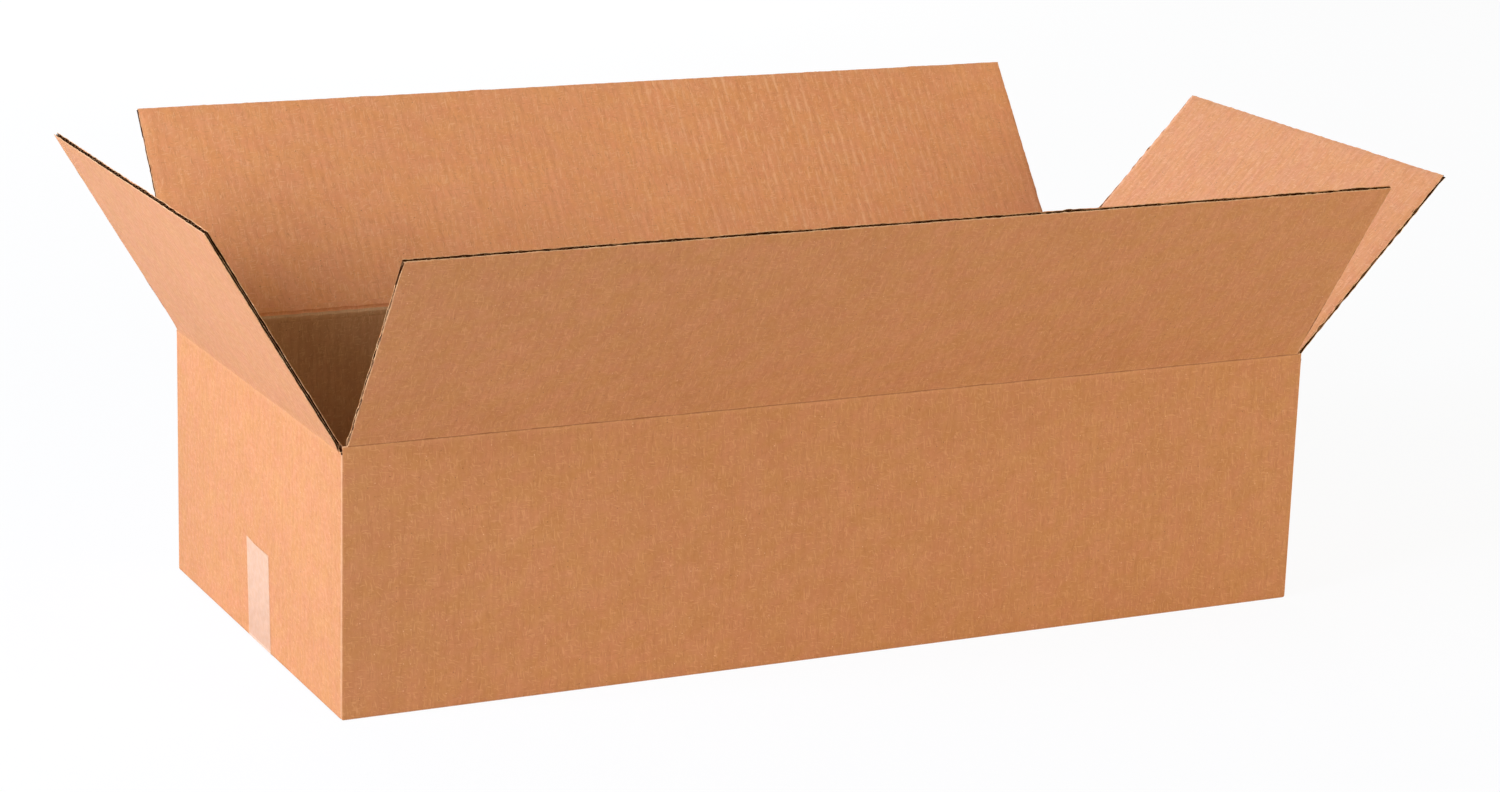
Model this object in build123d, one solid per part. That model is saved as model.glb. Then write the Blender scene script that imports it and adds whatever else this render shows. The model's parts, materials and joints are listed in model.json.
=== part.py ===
from build123d import *
import os
from math import atan2, cos, floor, radians, sin, tan

# Open shipping carton of single-wall corrugated board, millimetres and degrees.
# Origin at the middle of the bottom, +X along the length to the right, +Y to the back, +Z up.

# Driving dimensions
inside_length = 762.0        # between the end walls
inside_width = 355.6         # between the front and back walls
inside_depth = 177.8         # from the floor to the closed end flaps
board = 4.0                  # thickness of the corrugated board
liner = 0.45                 # each flat paper face of the board
medium = 0.45                # the fluted paper between the faces
flute_pitch = 7.8            # from one flute crest to the next
layer_gap = 0.3              # air between two boards that lie on each other
crease_gap = 0.3             # from a crease to the root of its flap
slot_inset = 4.57            # half of the slot between two neighbouring flaps
slot_overcut = 6.0           # how far a slot runs on below the end crease
slot_slit = 1.0              # width of that run at a folded corner
seam_gap = 2.0               # between the two long flaps where they meet
crush_length = 9.0           # stretch of a flap beside its crease where the flutes are crushed
side_lip = 1.2               # least depth of the open flute along a flap's side edge
corner_radius = 2.0          # outside of the four upright folds
foot_radius = 1.5            # outside of the bottom folds along the length
foot_rise = 0.8              # end walls stop this far above the ground
tab_width = 35.0             # glued corner tab
tab_taper = 12.0             # slope of the tab's two ends, degrees from level
tab_clearance = 1.0          # above and below the tab
tape_width = 48.0            # sealing tape under the bottom
tape_thickness = 0.1         # film and glue
tape_offset = -10.0          # from the middle of the bottom towards the front
tape_rise = 76.0             # how far the tape runs up each end wall

# How far each flap leans outwards as it stands open
front_lean = 35.0            # degrees from upright
back_lean = 38.0             # degrees from upright
left_lean = 31.0             # degrees from upright
right_lean = 43.5            # degrees from upright

# Sizes that follow
outer_length = inside_length + 2 * board
outer_width = inside_width + 2 * board
floor_height = 2 * board + layer_gap
end_crease = floor_height + inside_depth + board
long_crease = end_crease + board + layer_gap
flap_length = (outer_width - seam_gap) / 2
long_flap_width = outer_length - 2 * slot_inset
end_flap_width = outer_width - 2 * slot_inset


def prism_along_x(points, length, centre_x=0.0):
    """Closed (y, z) outline drawn along X, centred on centre_x."""
    outline = Plane.YZ * make_face(Polyline(*points, close=True))
    return Pos(centre_x - length / 2, 0, 0) * extrude(outline, length, dir=(1, 0, 0))


def prism_along_y(points, length):
    """Closed (x, z) outline drawn along Y, centred on Y = 0."""
    outline = Plane.XZ * make_face(Polyline(*points, close=True))
    return Pos(0, -length / 2, 0) * extrude(outline, length, dir=(0, 1, 0))


def box_between(low, high):
    """Solid box between two opposite corners."""
    size = [b - a for a, b in zip(low, high)]
    return Pos(*low) * Box(*size, align=(Align.MIN, Align.MIN, Align.MIN))


def board_section(width):
    """Section of the board across its flutes: two liners joined by a zigzag medium.
    It lies in the XY plane, centred on X, with the outer liner on Y = 0."""
    half_pitch = flute_pitch / 2
    core = board - 2 * liner
    slope = core / half_pitch
    leg = medium / 2 / sin(atan2(core, half_pitch))    # half of a leg, measured along X
    legs = floor((width - 2 * side_lip) / half_pitch)
    first = -legs * half_pitch / 2

    def leg_foot(number):
        """Centre line of the medium where it meets the liners: outer for even numbers."""
        return first + number * half_pitch, liner if number % 2 == 0 else board - liner

    # Each channel is a triangle between two legs, its base on one of the liners
    channels = []
    for number in range(legs - 1):
        start_x, base_y = leg_foot(number)
        crest_x, crest_y = leg_foot(number + 1)
        towards = 1 if crest_y > base_y else -1
        corners = [
            (start_x + leg, base_y),
            (start_x + flute_pitch - leg, base_y),
            (crest_x, crest_y - towards * leg * slope),
        ]
        channels.append(Wire.make_polygon([Vector(x, y) for x, y in corners], close=True))

    # Past the first and last legs the flute is cut open along the side edge
    side = width / 2
    last_x, last_y = leg_foot(legs)
    before_last_y = board - last_y
    right_open = sorted(
        [(last_x + leg, last_y), (last_x - half_pitch + leg, before_last_y)], key=lambda p: p[1]
    )
    left_open = [(first - leg, liner), (first + half_pitch - leg, board - liner)]
    outline = [
        (-side, 0), (side, 0),
        (side, liner), *right_open, (side, board - liner),
        (side, board), (-side, board),
        (-side, board - liner), *reversed(left_open), (-side, liner),
    ]
    return Face(Wire.make_polygon([Vector(x, y) for x, y in outline], close=True), channels)


def flap_panel(width, root_profile):
    """Upright flap with its crease on the X axis and its outer liner on Y = 0.
    The flutes are open from the crushed stretch beside the crease to the free edge."""
    fluted = Pos(0, 0, crush_length) * extrude(board_section(width), flap_length - crush_length)
    return fluted + prism_along_x([*root_profile, (board, crush_length), (0, crush_length)], width)


def top_flap(width):
    """Open flap whose root is mitred so that it can close over the wall below it."""
    return flap_panel(width, [(0, crease_gap), (board, crease_gap + board)])


def place_flap(flap, lean, turn, x, y, z):
    """Lean a flap outwards about its crease, turn it to its wall and set it there."""
    return Pos(x, y, z) * Rot(0, 0, turn) * Rot(lean, 0, 0) * flap


def ring_plan():
    """Section of the four walls: three folded corners, and a fourth where the blank is glued.
    There the back wall ends square, and the right wall folds into the tab behind it."""
    corner_x = outer_length / 2
    corner_y = outer_width / 2
    plan = RectangleRounded(outer_length, outer_width, corner_radius)
    raw_end = Rectangle(corner_radius, corner_radius, align=(Align.MAX, Align.MAX))
    plan += Pos(corner_x, corner_y) * raw_end
    # The tab's fold leaves an open groove along the inside of the raw end
    groove = raw_end - Pos(-corner_radius, -corner_radius) * Circle(corner_radius)
    plan -= Pos(corner_x, corner_y - board) * groove
    return plan - Rectangle(inside_length, inside_width)


def walls():
    """The four walls with their mitred tops, open slits at the corners and folded feet."""
    ring = extrude(ring_plan(), long_crease)

    outer_x = outer_length / 2
    outer_y = outer_width / 2
    inner_x = inside_length / 2
    for side in (-1, 1):
        # Mitre along the crease of the front and back walls
        ring -= prism_along_x(
            [
                (side * outer_y, long_crease),
                (side * (outer_y - board), long_crease - board),
                (side * (outer_y - board), long_crease + board),
                (side * outer_y, long_crease + board),
            ],
            outer_length + 2 * board,
        )
        # The end walls stop lower, by one board, with the same mitre
        ring -= prism_along_y(
            [
                (side * (outer_x + board), end_crease),
                (side * outer_x, end_crease),
                (side * inner_x, end_crease - board),
                (side * inner_x, long_crease + board),
                (side * (outer_x + board), long_crease + board),
            ],
            inside_width,
        )
        # The foot of an end wall wraps over the side edge of the long bottom flaps
        wrap = board + layer_gap - foot_rise
        ring -= prism_along_y(
            [
                (side * (outer_x + board), -board),
                (side * (outer_x + board), foot_rise),
                (side * outer_x, foot_rise),
                (side * (outer_x - wrap), foot_rise + wrap),
                (side * inner_x, foot_rise + wrap),
                (side * inner_x, -board),
            ],
            inside_width,
        )
        # The bottom fold of the long walls is rounded
        fold = Rectangle(2 * foot_radius, 2 * foot_radius) - Circle(foot_radius)
        fold_y = side * (outer_y - foot_radius)
        near_fold = Pos(0, side * outer_y, 0) * Box(2 * outer_length, 2 * foot_radius, 2 * foot_radius)
        rolled = extrude(Plane.YZ * fold, outer_length, both=True)
        ring -= (Pos(0, fold_y, foot_radius) * rolled) & near_fold

    # The slots run on down the three folded corners as narrow slits
    slit_height = long_crease - end_crease + slot_overcut
    slit = Box(4 * board, slot_slit, 2 * slit_height)
    for end, side in ((-1, -1), (-1, 1), (1, -1)):
        ring -= Pos(end * outer_x, side * outer_y, long_crease) * Rot(0, 0, 45 * end * side) * slit
    return ring


def bottom_flaps():
    """Long flaps below, meeting at the middle, with the end flaps folded on top of them.
    The open flutes of the end flaps show inside the carton."""
    outer_y = outer_width / 2
    end_flap = flap_panel(end_flap_width, [(0, board), (board, board)])
    level_end_flap = Pos(-outer_length / 2, 0, board + layer_gap) * (Plane.YZ * end_flap)
    flaps = [level_end_flap, Rot(0, 0, 180) * level_end_flap]
    for side in (-1, 1):
        edge = [side * (outer_y - board), side * seam_gap / 2]
        flaps.append(
            box_between((-long_flap_width / 2, min(edge), 0), (long_flap_width / 2, max(edge), board))
        )
    return flaps


def corner_tab():
    """Glued tab that runs from the right end wall along the inside of the back wall."""
    root_x = inside_length / 2
    edge_x = root_x - tab_width
    low = floor_height + tab_clearance
    high = end_crease - board - tab_clearance
    drop = tab_width * tan(radians(tab_taper))
    outline = [(root_x, low), (root_x, high), (edge_x, high - drop), (edge_x, low + drop)]
    back = inside_width / 2
    return Pos(0, back - board / 2, 0) * prism_along_y(outline, board)


def sealing_tape():
    """One strip under the bottom seam and up both end walls."""
    outer_x = outer_length / 2
    outline = [
        (-outer_x - tape_thickness, 0),
        (outer_x + tape_thickness, 0),
        (outer_x + tape_thickness, tape_rise),
        (outer_x, tape_rise),
        (outer_x, tape_thickness),
        (-outer_x, tape_thickness),
        (-outer_x, tape_rise),
        (-outer_x - tape_thickness, tape_rise),
    ]
    return Pos(0, tape_offset, 0) * prism_along_y(outline, tape_width)


def carton_body():
    """Walls, bottom flaps and corner tab: one folded and glued sheet."""
    body = walls()
    for flap in bottom_flaps():
        body += flap
    body += corner_tab()
    # The carton's weight presses the tape into the soft board, flush with the bottom
    return body - sealing_tape()


long_flap = top_flap(long_flap_width)
end_flap = top_flap(end_flap_width)
half_x = outer_length / 2
half_y = outer_width / 2
nodes = {
    "carton_body": carton_body(),
    "flap_front": place_flap(long_flap, front_lean, 0, 0, -half_y, long_crease),
    "flap_back": place_flap(long_flap, back_lean, 180, 0, half_y, long_crease),
    "flap_left": place_flap(end_flap, left_lean, -90, -half_x, 0, end_crease),
    "flap_right": place_flap(end_flap, right_lean, 90, half_x, 0, end_crease),
    "bottom_tape": sealing_tape(),
}

os.makedirs("parts", exist_ok=True)
for name, shape in nodes.items():
    shape.label = name
    export_step(shape, f"parts/{name}.step")
    print(name, len(shape.solids()), "solid", round(shape.volume), "mm3")
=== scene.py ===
import json
import math

import bpy
import numpy as np
from mathutils import Matrix, Vector


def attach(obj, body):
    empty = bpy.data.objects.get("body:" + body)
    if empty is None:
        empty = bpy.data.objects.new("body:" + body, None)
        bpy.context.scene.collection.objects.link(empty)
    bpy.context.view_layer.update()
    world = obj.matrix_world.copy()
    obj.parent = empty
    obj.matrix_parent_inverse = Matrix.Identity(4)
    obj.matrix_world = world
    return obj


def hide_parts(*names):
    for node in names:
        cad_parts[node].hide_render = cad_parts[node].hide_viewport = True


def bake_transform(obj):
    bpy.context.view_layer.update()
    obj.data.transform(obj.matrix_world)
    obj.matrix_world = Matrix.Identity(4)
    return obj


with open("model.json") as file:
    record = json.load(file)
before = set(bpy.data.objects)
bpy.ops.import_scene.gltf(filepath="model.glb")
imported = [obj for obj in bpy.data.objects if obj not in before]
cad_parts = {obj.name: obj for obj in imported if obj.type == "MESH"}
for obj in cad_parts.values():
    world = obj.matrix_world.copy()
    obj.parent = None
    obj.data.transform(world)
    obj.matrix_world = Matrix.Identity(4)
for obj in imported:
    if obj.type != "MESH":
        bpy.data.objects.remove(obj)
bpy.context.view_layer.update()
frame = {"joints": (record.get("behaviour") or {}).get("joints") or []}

mm = 0.001
up = np.array([0.0, 0.0, 1.0])

# corrugated board, the sheet that every panel of the carton is cut from
board = {
    "thick": 4.0 * mm,
    "liner": 0.42 * mm,
    "medium": 0.26 * mm,
    "pitch": 7.8 * mm,        # one flute to the next
    "reliefOut": 0.05 * mm,   # the flutes show faintly through the outer paper
    "reliefIn": 0.09 * mm,    # and a little more through the inner one
    "perFlute": 5,            # mesh columns for each flute
    "perCutFlute": 12,        # and for each flute that is cut across
    "flare": 0.45 * mm,       # the paper swells beside a crease
    "flareReach": 7.0 * mm,
    "crushed": 0.55 * mm,     # what the crease leaves of the thickness
    "crushReach": 4.4 * mm,
    "lip": 1.0 * mm,          # finely meshed rim along every cut edge
    "rim": 0.45 * mm,         # last mesh line before the cut
    "openDepth": 24.0 * mm,   # how far into the open flutes the fluted paper is built
    "openFlutes": 1.35,       # and how many flutes in from a side edge
    "cutStep": 1.5 * mm,      # mesh rows along a side edge
}

# how far the knife lines lie in from the nominal edge, for the outer and the inner paper: short everywhere,
# torn in places (share says how many), with the length of their waves and steps
knife = {
    "end": {"seed": 20, "short": (0.12 * mm, 0.32 * mm), "wave": 60 * mm, "toothStep": 1.3 * mm,
            "torn": (0.20 * mm, 0.65 * mm), "tornStep": 4 * mm, "tornWave": 45 * mm, "share": 0.4},
    "side": {"seed": 40, "short": (0.06 * mm, 0.06 * mm), "wave": 40 * mm, "toothStep": 1.6 * mm,
             "torn": (0.7 * mm, 0.7 * mm), "tornStep": 3.1 * mm, "tornWave": 21 * mm, "share": 0.3},
    "tooth": 0.3 * mm,
    "medium": 0.7 * mm,       # the fluted paper stops this far short of the ends of the liners
    "crushed": 1.1 * mm,      # and this much further where it is crushed
    "fluff": 0.08 * mm,       # how much it swells where it is cut along the flutes
}

# papers, by the order in which they stand in every mesh
papers = ["outerPaper", "innerPaper", "cutPaper", "flutePaintedShadePaper", "insidePaintedShadePaper", "mediumPaper"]
outerPaper, innerPaper, cutPaper, flutePaintedShadePaper, insidePaintedShadePaper, mediumPaper = range(6)

# crease lines as the joints have them; a flap closes by its lean and a right angle more
creaseAt = {joint["name"].split("_")[0]: Vector(joint["pos_m"]) for joint in frame["joints"]}
leanOf = {joint["name"].split("_")[0]: -joint["range_deg"][0] - 90 for joint in frame["joints"]}
halfX = creaseAt["right"].x
halfY = creaseAt["back"].y
longCrease = creaseAt["front"].z
endCrease = creaseAt["left"].z

# walls in the order of the folded sheet, starting from its raw end at the glued corner
walls = {
    "back": {"inward": (0, -1, 0), "phase": 1.1 * mm, "bow": -0.5 * mm},
    "left": {"inward": (1, 0, 0), "phase": 5.3 * mm, "bow": 0.5 * mm},
    "front": {"inward": (0, 1, 0), "phase": 0.4 * mm, "bow": 0.8 * mm},
    "right": {"inward": (-1, 0, 0), "phase": 3.3 * mm, "bow": 0.4 * mm},
}
for name, wall in walls.items():
    wall["end"] = name in ("left", "right")
    wall["crease"] = endCrease if wall["end"] else longCrease
    wall["half"], wall["far"] = (halfY, halfX) if wall["end"] else (halfX, halfY)
    wall["inward"] = np.array(wall["inward"], float)
    wall["along"] = np.cross(wall["inward"], up)

# top flaps: seed of its unevenness, bow and squeeze of its free edge, how crushed the flutes are along its
# sides, and where along it (middle, half length, how much) the flutes are pressed through the inner paper,
# shown in painted light
topFlaps = {
    "front": {"seed": 11, "bow": 0.9 * mm, "squeeze": 1.15 * mm, "knots": 1.0, "pressed": (0.15, 0.12, 0.5)},
    "back": {"seed": 23, "bow": 1.2 * mm, "squeeze": 0.85 * mm, "knots": 0.5, "pressed": (-0.18, 0.20, 0.85)},
    "left": {"seed": 37, "bow": 0.5 * mm, "squeeze": 0.8 * mm, "knots": 0.12, "pressed": (0.05, 0.08, 0.3)},
    "right": {"seed": 41, "bow": 0.6 * mm, "squeeze": 1.6 * mm, "knots": 0.3, "pressed": (0.0, 0.10, 0.15)},
}
slotInset = 4.57 * mm      # half of the slot between two flaps
seamGap = 2.0 * mm         # between the long flaps when they are closed
layerGap = 0.3 * mm        # between two boards that lie on each other
flapReach = halfY - seamGap / 2
farOff = 25 * mm           # no mark reaches as far as this
weldWithin = 0.002 * mm    # points as near as this become one
sharpFrom = 32             # degrees between two faces that are not shaded as one


def smooth(value):
    value = np.clip(value, 0, 1)
    return value * value * (3 - 2 * value)


# a soft line that wanders between about -1 and 1, with waves of about this length
def waver(places, seed, length):
    draw = np.random.default_rng(seed)
    total = 0 * places
    for turn in range(5):
        wave = length * draw.uniform(0.6, 1.8)
        total = total + draw.uniform(0.5, 1.0) * np.sin(2 * np.pi * places / wave + draw.uniform(0, 6.28))
    return total / 2.4


# a rough line between 0 and 1 with a new value at about every step, for knife-cut paper
def jagged(places, seed, step):
    draw = np.random.default_rng(seed)
    first = places.min() - 2 * step
    count = int((places.max() - first) / step) + 4
    knots = first + step * (np.arange(count) + draw.uniform(-0.3, 0.3, count))
    return np.interp(places, knots, draw.uniform(0, 1, count))


# the same, but fading away in places: share says how much of the line stays
def ragged(places, seed, step, share, wideSeed, wide):
    return jagged(places, seed, step) * smooth(share + waver(places, wideSeed, wide))


# how much thinner the board is pressed towards a cut edge, at a distance from that edge
def squeezed(amount, seed, place, fromEdge):
    swing = 1 + 0.3 * waver(place, seed + 5, 38 * mm) + 0.35 * waver(place, seed + 6, 13 * mm)
    return amount * np.maximum(swing, 0.15) * smooth(1 - fromEdge / (5 * mm))


# values of one shape, or of shapes that spread to one, as the parts of points
def joined(*values):
    return np.stack(np.broadcast_arrays(*values), axis=-1)


# 0 in a flute's valley and 1 on its crest
def ridgeAt(place):
    return 0.5 - 0.5 * np.cos(2 * np.pi * place / board["pitch"])


# how much the paper swells at a distance from the crease
def flareAt(down):
    return board["flare"] * np.clip(1 - down / board["flareReach"], 0, 1) ** 2


# distances from the crease, the nearest cut edge and the nearest fold, and how strongly the flutes show
# through as painted light
def marksAt(shape, crease=farOff, cut=farOff, fold=farOff, pressed=0.15):
    return joined(crease, cut, fold, np.full(shape, pressed))


# grids of points are stacked here until they become one mesh
def newStack():
    return {"points": [], "sheet": [], "marks": [], "quads": [], "paper": [], "caps": [], "used": 0}


def addGrid(stack, points, sheet, marks, paper, flip=False, keep=None):
    rows, columns = points.shape[:2]
    index = np.arange(rows * columns).reshape(rows, columns) + stack["used"]
    quads = np.stack([index[:-1, :-1], index[:-1, 1:], index[1:, 1:], index[1:, :-1]], axis=-1)
    paperOf = np.broadcast_to(np.asarray(paper), quads.shape[:2])
    if keep is None:
        keep = np.ones(quads.shape[:2], bool)
    quads = quads[keep]
    stack["quads"].append(quads[:, ::-1] if flip else quads)
    stack["paper"].append(paperOf[keep])
    stack["points"].append(points.reshape(-1, 3))
    stack["sheet"].append(sheet.reshape(-1, 2))
    stack["marks"].append(marks.reshape(-1, 4))
    stack["used"] += rows * columns
    return index


def addCap(stack, outline, paper, flip=False):
    stack["caps"].append((outline[::-1] if flip else outline, paper))


def setAll(target, key, values, kind=np.float32):
    target.foreach_set(key, values.astype(kind).ravel())


def newObject(name, data):
    made = bpy.data.objects.new(name, data)
    bpy.context.collection.objects.link(made)
    return made


# one mesh from a stack: equal points welded, papers set, sheet coordinates kept as a UV layer
def makePiece(name, stack, materials):
    points, sheet, marks, quads, quadPaper = (
        np.concatenate(stack[key]) for key in ("points", "sheet", "marks", "quads", "paper"))
    caps = [np.array(cap) for cap, paper in stack["caps"]]
    loops = np.concatenate([quads.ravel()] + caps)
    sizes = np.concatenate([np.full(len(quads), 4), [len(cap) for cap in caps]]).astype(int)
    paperOf = np.concatenate([quadPaper, [paper for cap, paper in stack["caps"]]]).astype(int)
    keys = np.round(points / weldWithin).astype(np.int64)
    found, first, weld = np.unique(keys, axis=0, return_index=True, return_inverse=True)
    weld = weld.ravel()
    inUse = np.unique(weld[loops])
    renumber = np.zeros(len(found), int)
    renumber[inUse] = np.arange(len(inUse))
    kept = first[inUse]

    mesh = bpy.data.meshes.new(name)
    mesh.vertices.add(len(kept))
    setAll(mesh.vertices, "co", points[kept])
    mesh.loops.add(len(loops))
    setAll(mesh.loops, "vertex_index", renumber[weld[loops]], np.int32)
    mesh.polygons.add(len(sizes))
    starts = np.concatenate([[0], np.cumsum(sizes)[:-1]])
    for key, values in (("loop_start", starts), ("loop_total", sizes), ("material_index", paperOf)):
        setAll(mesh.polygons, key, values, np.int32)
    setAll(mesh.polygons, "use_smooth", np.ones(len(sizes)), bool)
    setAll(mesh.uv_layers.new(name="sheet").data, "uv", sheet[loops])
    for number, mark in enumerate(["fromCrease", "fromCut", "fromFold", "pressed"]):
        setAll(mesh.attributes.new(mark, "FLOAT", "POINT").data, "value", marks[kept, number])
    mesh.update(calc_edges=True)
    mesh.validate()
    mesh.set_sharp_from_angle(angle=math.radians(sharpFrom))
    for material in materials:
        mesh.materials.append(material)
    return newObject(name, mesh)


# from a panel's own axes (across the flutes, through the board, along the flutes) to the carton's
def panelPlace(across, through, along, origin):
    return np.column_stack([across, through, along]), np.array(origin, float)


def creaseMiddle(wall):
    return -wall["inward"] * wall["far"] + up * wall["crease"]


def leaningPlace(wall, lean):
    c, s = math.cos(math.radians(lean)), math.sin(math.radians(lean))
    inward = wall["inward"]
    return panelPlace(wall["along"], c * inward + s * up, c * up - s * inward, creaseMiddle(wall))


# a flat panel of board: two papers, and the fluted paper wherever an open edge shows it
# root is crease, joined or cut, shift is its place on the sheet, low and high are its slanting ends
def boardPanel(stack, plan, place):
    half, reach, seed, sides = plan["width"] / 2, plan["reach"], plan["seed"], plan["cutSides"]
    pitch, lip, liner = board["pitch"], board["lip"], board["liner"]
    atCrease, atCut = plan["root"] == "crease", plan["root"] == "cut"
    low = plan.get("low", lambda x: 0 * x)
    high = plan.get("high", lambda x: 0 * x + reach)
    knots = plan.get("knots", 0.2)
    pressedAt, pressedHalf, pressedShare = plan.get("pressed", (0.0, 0.05, 0.0))
    liners = [(0, outerPaper), (1, plan.get("inner", innerPaper))]    # by their order in surfaces()
    turn, origin = place

    def toCut(x, z):
        nearest = np.minimum(high(x) - z, farOff)
        for side in sides:
            nearest = np.minimum(nearest, half - side * x)
        if atCut:
            nearest = np.minimum(nearest, z - low(x))
        return np.maximum(nearest, 0)

    # depth of the outer and inner surface below the flat outer plane
    def surfaces(x, z):
        ridge = ridgeAt(x - plan["phase"])
        uneven = 1 + 0.45 * waver(x, seed + 1, 90 * mm) + 0.35 * waver(z, seed + 2, 70 * mm)
        share = np.clip((z - low(x)) / reach, 0, 1)
        bow = plan["bow"] * share ** 2 * (0.55 + 0.45 * waver(x, seed + 3, plan["width"] * 0.7))
        outer = bow + board["reliefOut"] * uneven * ridge
        inner = bow + board["thick"] - board["reliefIn"] * uneven * (1 - ridge)
        squeeze = squeezed(plan["squeeze"], seed, x + z, toCut(x, z))
        if atCrease:
            outer = outer - flareAt(z) * (1 + 0.35 * waver(x, seed + 4, 30 * mm))
            crush = 1 - smooth((z - 0.5 * mm) / board["crushReach"])
            inner = inner - (board["thick"] - board["crushed"]) * crush
            squeeze = squeeze * smooth(z / (10 * mm))
        return outer + 0.4 * squeeze, inner - 0.6 * squeeze

    def flute(x, z):
        outer, inner = surfaces(x, z)
        near, far = outer + liner, inner - liner
        swing = np.maximum(far - near - board["medium"], 0) / 2
        angle = 2 * np.pi * (x - plan["phase"]) / pitch
        slant = board["medium"] / 2 * np.sqrt(1 + (swing * 2 * np.pi / pitch * np.sin(angle)) ** 2)
        middle = (near + far) / 2 - swing * np.cos(angle)
        return middle - slant, middle + slant

    def lay(x, z, y, paper, flip=False):
        points = joined(x, y, z) @ turn.T + origin
        sheet = joined(x + plan["shift"][0], z + plan["shift"][1])
        pressed = 0.12 + pressedShare * smooth(1.3 * (1 - np.abs(x - pressedAt) / pressedHalf))
        fromCrease = z + 2.5 * mm if atCrease else farOff
        marks = marksAt(z.shape, fromCrease, toCut(x, z), farOff, pressed)
        addGrid(stack, points, sheet, marks, paper, flip)

    # the cut between two layers, along the last row or column that they share
    def layCut(x, z, near, far, paper, flip, axis):
        x, z = (np.take(values, [-1, -1], axis) for values in (x, z))
        lay(x, z, np.concatenate([np.take(values, [-1], axis) for values in (near, far)], axis), paper, flip)

    # one liner at an open edge: its face on the lip, its back inside the flutes in painted flute shade, and
    # its cut
    def layLiner(number, paper, lipAt, backAt, flip, axis):
        isOuter = number == 0
        face = surfaces(*lipAt)[number]
        back = surfaces(*backAt)[number] + (liner if isOuter else -liner)
        lay(*lipAt, face, paper, isOuter == flip)
        lay(*backAt, back, flutePaintedShadePaper, isOuter != flip)
        layCut(*lipAt, *((face, back) if isOuter else (back, face)), cutPaper, flip, axis)

    # the fluted paper at an open edge, in painted flute shade, and the cut across it
    def layFlute(x, z, near, far, flip, axis):
        lay(x, z, near, flutePaintedShadePaper, flip)
        lay(x, z, far, flutePaintedShadePaper, not flip)
        layCut(x, z, near, far, mediumPaper, flip, axis)

    # places on the panel, with each row drawn between the slanting ends where it has them
    def spread(xs, ts):
        x, t = np.meshgrid(xs, ts)
        return x, low(x) + (high(x) - low(x)) * t / reach

    def fray(place, cut, which):
        first = seed + cut["seed"]
        tears = ragged(place, first + 15 + which, cut["tornStep"], cut["share"], first + 16, cut["tornWave"])
        short = cut["short"][which % 2] * (1 + waver(place, first + which, cut["wave"]))
        teeth = knife["tooth"] * jagged(place, first + 10 + which, cut["toothStep"])
        return short + teeth + cut["torn"][which % 2] * tears

    left = -half + (lip if -1 in sides else 0)
    right = half - (lip if 1 in sides else 0)
    columns = max(2, int(round((right - left) / (pitch / board["perFlute"]))) + 1)
    mainX = np.linspace(left, right, columns)
    if atCrease:
        starts = [0.25, 0.7, 1.3, 2.1, 3.1, 4.2, 5.6, 8.0, 12.0]
    else:
        starts = [1.0, 3.0, 6.0] if atCut else [0.0]
    ends = [24.0, 12.0, 6.0, 3.0, 1.0]
    steps = max(2, int((reach - 40 * mm) / (26 * mm)))
    middles = np.linspace(starts[-1] * mm + 6 * mm, reach - 30 * mm, steps)
    mainT = np.concatenate([np.array(starts) * mm, middles, reach - np.array(ends) * mm])
    x, z = spread(mainX, mainT)
    both = surfaces(x, z)
    for number, paper in liners:
        lay(x, z, both[number], paper, number == 1)
    if atCrease:
        lay(x[[0, 0]], z[[0, 0]], np.stack([both[0][0], both[1][0]]), liners[1][1], True)

    # open ends across the flutes
    fineX = np.linspace(-half, half, max(4, int(round(plan["width"] / (pitch / board["perCutFlute"]))) + 1))
    for way, edge in [(1, reach)] + ([(-1, 0.0)] if atCut else []):
        def rowsIn(steps, line):
            x, z = spread(fineX, [edge - way * step for step in steps])
            z[-1] = low(fineX) + (high(fineX) - low(fineX)) * (edge - way * line) / reach
            return x, z

        flip = way < 0
        onLip = [lip, board["rim"], 0.0]
        below = [board["openDepth"], 8 * mm, 2 * mm, 0.0]
        for number, paper in liners:
            line = fray(fineX, knife["end"], number + (4 if flip else 0))
            layLiner(number, paper, rowsIn(onLip, line), rowsIn(below, line), flip, 0)
        crushed = knife["crushed"] * ragged(fineX, seed + 38, 6 * mm, 0.6, seed + 39, 50 * mm)
        x, z = rowsIn(below, knife["medium"] + crushed + 0.6 * fray(fineX, knife["end"], 9))
        layFlute(x, z, *flute(x, z), flip, 0)

    # open sides along the flutes
    firstT = 0.25 * mm if atCrease else (lip if atCut else 0.0)
    sideT = np.linspace(firstT, reach - lip, int((reach - lip) / board["cutStep"]))
    inX = max(half - board["openFlutes"] * pitch, -half)
    for side in sides:
        zs = spread(np.array([side * half]), sideT)[1][:, 0]
        flip = side < 0

        def columnsAt(*places):
            return side * joined(*[0 * zs + at for at in places]), np.repeat(zs[:, None], len(places), axis=1)

        for number, paper in liners:
            cut = half - fray(zs, knife["side"], number + 2 * side)
            lipAt = columnsAt(half - lip, half - board["rim"], cut)
            layLiner(number, paper, lipAt, columnsAt(inX, half - lip, cut), flip, 1)
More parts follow.
